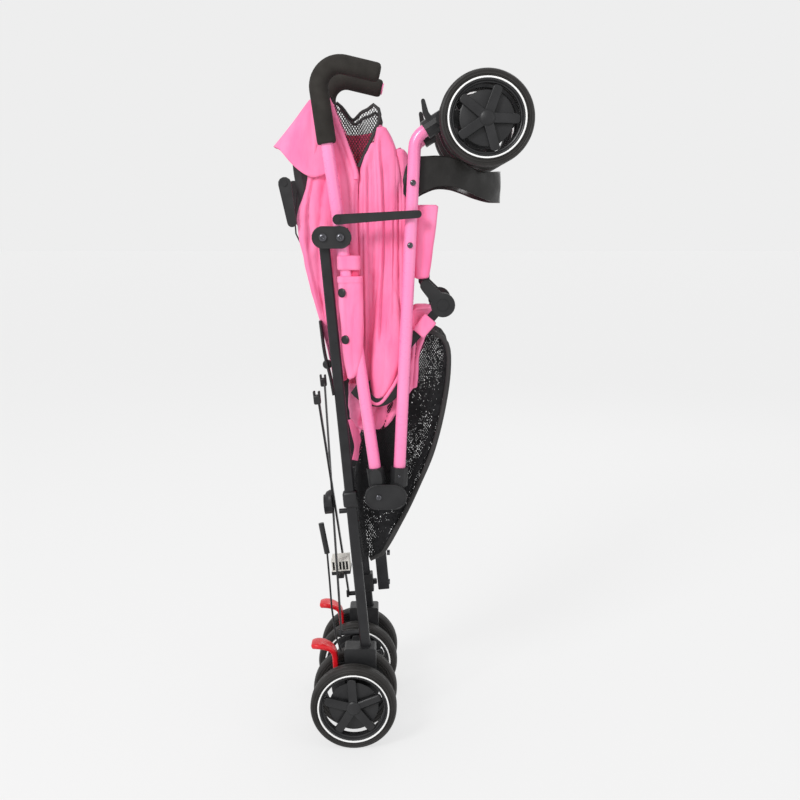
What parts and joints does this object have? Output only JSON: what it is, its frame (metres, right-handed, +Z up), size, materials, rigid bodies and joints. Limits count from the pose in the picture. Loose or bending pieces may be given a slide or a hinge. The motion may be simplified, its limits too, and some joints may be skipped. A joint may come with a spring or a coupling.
{
  "type": "baby stroller",
  "caption": "Folded umbrella stroller: pink tube frame and fabric on black legs, with foam J grips and double wheels.",
  "frame": {"origin": "middle of the folded stroller's box, on the floor under its rear wheels", "axes": "+X towards the stroller's front, +Y towards its left side, +Z up"},
  "size_m": [0.4093, 0.269, 1.0877],
  "materials": {
    "frame_black": "satin powder coat",
    "tube_pink": "glossy powder coat",
    "moulded_black": "fine-grained moulded nylon",
    "foam_black": "closed-cell foam",
    "tyre_black": "moulded foam rubber",
    "pedal_red": "moulded red plastic",
    "axle_steel": "zinc plated",
    "fabric_pink": "woven polyester",
    "vinyl_black": "coated vinyl band",
    "mesh_black": "open polyester mesh"
  },
  "bodies": {
    "frame_right": {"rear_leg_right": "frame_black", "axle_housing_right": "moulded_black", "rear_axle_right": "axle_steel", "basket": "mesh_black"},
    "frame_left": {"rear_leg_left": "frame_black", "axle_housing_left": "moulded_black", "rear_axle_left": "axle_steel"},
    "handle_right": {"handle_tube_right": "tube_pink", "handle_grip_right": "foam_black", "pivot_bracket_right": "moulded_black", "knee_upper_right": "moulded_black"},
    "handle_left": {"handle_tube_left": "tube_pink", "handle_grip_left": "foam_black", "pivot_bracket_left": "moulded_black", "knee_upper_left": "moulded_black"},
    "front_leg_right": {"front_leg_right": "tube_pink", "knee_lower_right": "moulded_black", "footrest_band": "vinyl_black"},
    "front_leg_left": {"front_leg_left": "tube_pink", "knee_lower_left": "moulded_black"},
    "seat_rail_right": {"seat_rail_right": "frame_black", "seat": "fabric_pink"},
    "seat_rail_left": {"seat_rail_left": "frame_black"},
    "calf_right": {"calf_hinge_right": "moulded_black", "calf_panel": "fabric_pink"},
    "calf_left": {"calf_hinge_left": "moulded_black"},
    "hood_right": {"hood_bracket_right": "moulded_black", "hood": "fabric_pink"},
    "hood_left": {"hood_bracket_left": "moulded_black"},
    "back_right": {"recline_plate_right": "moulded_black", "backrest": "fabric_pink"},
    "back_left": {"recline_plate_left": "moulded_black"},
    "brace_right": {"brace_bar_right": "frame_black"},
    "brake_right": {"brake_pedal_right": "pedal_red"},
    "rear_wheel_right_outer": {"rear_rim_right_outer": "moulded_black", "rear_tyre_right_outer": "tyre_black"},
    "rear_wheel_right_inner": {"rear_rim_right_inner": "moulded_black", "rear_tyre_right_inner": "tyre_black"},
    "front_wheel_right_outer": {"front_rim_right_outer": "moulded_black", "front_tyre_right_outer": "tyre_black"},
    "front_wheel_right_inner": {"front_rim_right_inner": "moulded_black", "front_tyre_right_inner": "tyre_black"},
    "caster_right": {"caster_fork_right": "moulded_black"},
    "swivel_lever_right": {"swivel_lever_right": "moulded_black"},
    "calf_button_right": {"calf_button_right": "moulded_black"},
    "brace_left": {"brace_bar_left": "frame_black"},
    "brake_left": {"brake_pedal_left": "pedal_red"},
    "rear_wheel_left_outer": {"rear_rim_left_outer": "moulded_black", "rear_tyre_left_outer": "tyre_black"},
    "rear_wheel_left_inner": {"rear_rim_left_inner": "moulded_black", "rear_tyre_left_inner": "tyre_black"},
    "front_wheel_left_outer": {"front_rim_left_outer": "moulded_black", "front_tyre_left_outer": "tyre_black"},
    "front_wheel_left_inner": {"front_rim_left_inner": "moulded_black", "front_tyre_left_inner": "tyre_black"},
    "caster_left": {"caster_fork_left": "moulded_black"},
    "swivel_lever_left": {"swivel_lever_left": "moulded_black"},
    "calf_button_left": {"calf_button_left": "moulded_black"},
    "lock_pedal": {"lock_pedal": "moulded_black"},
    "transport_clip": {"transport_clip": "moulded_black"}
  },
  "joints": [
    {"name": "frame_fold", "type": "hinge", "parent": "frame_right", "child": "handle_right", "pos_m": [-0.1091, -0.0885, 0.82], "axis": [0, -1, 0], "range_deg": [0, 30.4]},
    {"name": "knee", "type": "hinge", "parent": "handle_right", "child": "front_leg_right", "pos_m": [-0.02584, -0.0885, 0.41538], "axis": [0, 1, 0], "range_deg": [0, 153.11]},
    {"name": "seat_rail", "type": "hinge", "parent": "handle_right", "child": "seat_rail_right", "pos_m": [-0.04827, -0.0885, 0.57501], "axis": [0, 1, 0], "range_deg": [0, 71.64]},
    {"name": "calf_rest", "type": "hinge", "parent": "seat_rail_right", "child": "calf_right", "pos_m": [0.07446, -0.0885, 0.7157], "axis": [0, 1, 0], "range_deg": [0, 100.22]},
    {"name": "hood_swing", "type": "hinge", "parent": "handle_right", "child": "hood_right", "pos_m": [-0.04827, -0.0885, 0.57501], "axis": [0, 1, 0], "range_deg": [0, 35.16]},
    {"name": "seat_back_recline", "type": "hinge", "parent": "handle_right", "child": "back_right", "pos_m": [-0.0971, -0.0885, 0.665], "axis": [0, -1, 0], "range_deg": [0, 20]},
    {"name": "frame_spread", "type": "slide", "parent": "frame_right", "child": "frame_left", "axis": [0, 1, 0], "range_m": [0, 0.201]},
    {"name": "handle_spread", "type": "slide", "parent": "handle_right", "child": "handle_left", "axis": [0, 1, 0], "range_m": [0, 0.201]},
    {"name": "front_leg_spread", "type": "slide", "parent": "front_leg_right", "child": "front_leg_left", "axis": [0, 1, 0], "range_m": [0, 0.201]},
    {"name": "seat_rail_spread", "type": "slide", "parent": "seat_rail_right", "child": "seat_rail_left", "axis": [0, 1, 0], "range_m": [0, 0.201]},
    {"name": "calf_spread", "type": "slide", "parent": "calf_right", "child": "calf_left", "axis": [0, 1, 0], "range_m": [0, 0.201]},
    {"name": "hood_spread", "type": "slide", "parent": "hood_right", "child": "hood_left", "axis": [0, 1, 0], "range_m": [0, 0.201]},
    {"name": "back_spread", "type": "slide", "parent": "back_right", "child": "back_left", "axis": [0, 1, 0], "range_m": [0, 0.201]},
    {"name": "brace_right", "type": "hinge", "parent": "frame_right", "child": "brace_right", "pos_m": [-0.08485, -0.0885, 0.18086], "axis": [-0.9959, 0, -0.091], "range_deg": [0, 37.5]},
    {"name": "brake_right", "type": "hinge", "parent": "frame_right", "child": "brake_right", "pos_m": [-0.097, -0.0885, 0.118], "axis": [0, -1, 0], "range_deg": [0, 20]},
    {"name": "rear_wheel_right_outer_spin", "type": "hinge", "parent": "frame_right", "child": "rear_wheel_right_outer", "pos_m": [-0.0675, -0.1225, 0.07], "axis": [0, 1, 0], "continuous": true},
    {"name": "rear_wheel_right_inner_spin", "type": "hinge", "parent": "frame_right", "child": "rear_wheel_right_inner", "pos_m": [-0.0675, -0.0545, 0.07], "axis": [0, 1, 0], "continuous": true},
    {"name": "front_wheel_right_outer_spin", "type": "hinge", "parent": "caster_right", "child": "front_wheel_right_outer", "pos_m": [0.13466, -0.1225, 0.99279], "axis": [0, 1, 0], "continuous": true},
    {"name": "front_wheel_right_inner_spin", "type": "hinge", "parent": "caster_right", "child": "front_wheel_right_inner", "pos_m": [0.13466, -0.0545, 0.99279], "axis": [0, 1, 0], "continuous": true},
    {"name": "caster_right_swivel", "type": "hinge", "parent": "front_leg_right", "child": "caster_right", "pos_m": [0.06366, -0.0885, 0.98977], "axis": [0.8434, 0, 0.5373], "range_deg": [-8, 8]},
    {"name": "swivel_lock_right", "type": "hinge", "parent": "caster_right", "child": "swivel_lever_right", "pos_m": [0.0459, -0.0885, 1.00276], "axis": [0, -1, 0], "range_deg": [0, 25]},
    {"name": "calf_button_right_press", "type": "slide", "parent": "calf_right", "child": "calf_button_right", "axis": [0, 1, 0], "range_m": [0, 0.0015], "stiffness_N_per_m": 400, "springref_m": -0.001},
    {"name": "brace_left", "type": "hinge", "parent": "frame_left", "child": "brace_left", "pos_m": [-0.08485, 0.0885, 0.18086], "axis": [0.9959, 0, 0.091], "range_deg": [0, 37.5]},
    {"name": "brake_left", "type": "hinge", "parent": "frame_left", "child": "brake_left", "pos_m": [-0.097, 0.0885, 0.118], "axis": [0, -1, 0], "range_deg": [0, 20]},
    {"name": "rear_wheel_left_outer_spin", "type": "hinge", "parent": "frame_left", "child": "rear_wheel_left_outer", "pos_m": [-0.0675, 0.1225, 0.07], "axis": [0, 1, 0], "continuous": true},
    {"name": "rear_wheel_left_inner_spin", "type": "hinge", "parent": "frame_left", "child": "rear_wheel_left_inner", "pos_m": [-0.0675, 0.0545, 0.07], "axis": [0, 1, 0], "continuous": true},
    {"name": "front_wheel_left_outer_spin", "type": "hinge", "parent": "caster_left", "child": "front_wheel_left_outer", "pos_m": [0.13466, 0.1225, 0.99279], "axis": [0, 1, 0], "continuous": true},
    {"name": "front_wheel_left_inner_spin", "type": "hinge", "parent": "caster_left", "child": "front_wheel_left_inner", "pos_m": [0.13466, 0.0545, 0.99279], "axis": [0, 1, 0], "continuous": true},
    {"name": "caster_left_swivel", "type": "hinge", "parent": "front_leg_left", "child": "caster_left", "pos_m": [0.06366, 0.0885, 0.98977], "axis": [0.8434, 0, 0.5373], "range_deg": [-8, 8]},
    {"name": "swivel_lock_left", "type": "hinge", "parent": "caster_left", "child": "swivel_lever_left", "pos_m": [0.0459, 0.0885, 1.00276], "axis": [0, -1, 0], "range_deg": [0, 25]},
    {"name": "calf_button_left_press", "type": "slide", "parent": "calf_left", "child": "calf_button_left", "axis": [0, -1, 0], "range_m": [0, 0.0015], "stiffness_N_per_m": 400, "springref_m": -0.001},
    {"name": "lock_pedal_press", "type": "hinge", "parent": "brace_right", "child": "lock_pedal", "pos_m": [-0.09277, 0, 0.2675], "axis": [0, -1, 0], "range_deg": [0, 20]},
    {"name": "transport_clip_swing", "type": "hinge", "parent": "handle_right", "child": "transport_clip", "pos_m": [-0.08646, -0.0885, 0.84674], "axis": [0, -1, 0], "range_deg": [0, 75]}
  ],
  "couplings": [
    {"joint": "knee", "follows": "frame_fold", "ratio": 5.03},
    {"joint": "seat_rail", "follows": "frame_fold", "ratio": 2.35},
    {"joint": "calf_rest", "follows": "frame_fold", "ratio": 3.29},
    {"joint": "hood_swing", "follows": "frame_fold", "ratio": 1.15},
    {"joint": "frame_spread", "follows": "frame_fold", "m_per_rad": 0.37695},
    {"joint": "handle_spread", "follows": "frame_fold", "m_per_rad": 0.37695},
    {"joint": "front_leg_spread", "follows": "frame_fold", "m_per_rad": 0.37695},
    {"joint": "seat_rail_spread", "follows": "frame_fold", "m_per_rad": 0.37695},
    {"joint": "calf_spread", "follows": "frame_fold", "m_per_rad": 0.37695},
    {"joint": "hood_spread", "follows": "frame_fold", "m_per_rad": 0.37695},
    {"joint": "back_spread", "follows": "frame_fold", "m_per_rad": 0.37695},
    {"joint": "brace_right", "follows": "frame_fold", "ratio": 1.227},
    {"joint": "brace_left", "follows": "frame_fold", "ratio": 1.227}
  ]
}
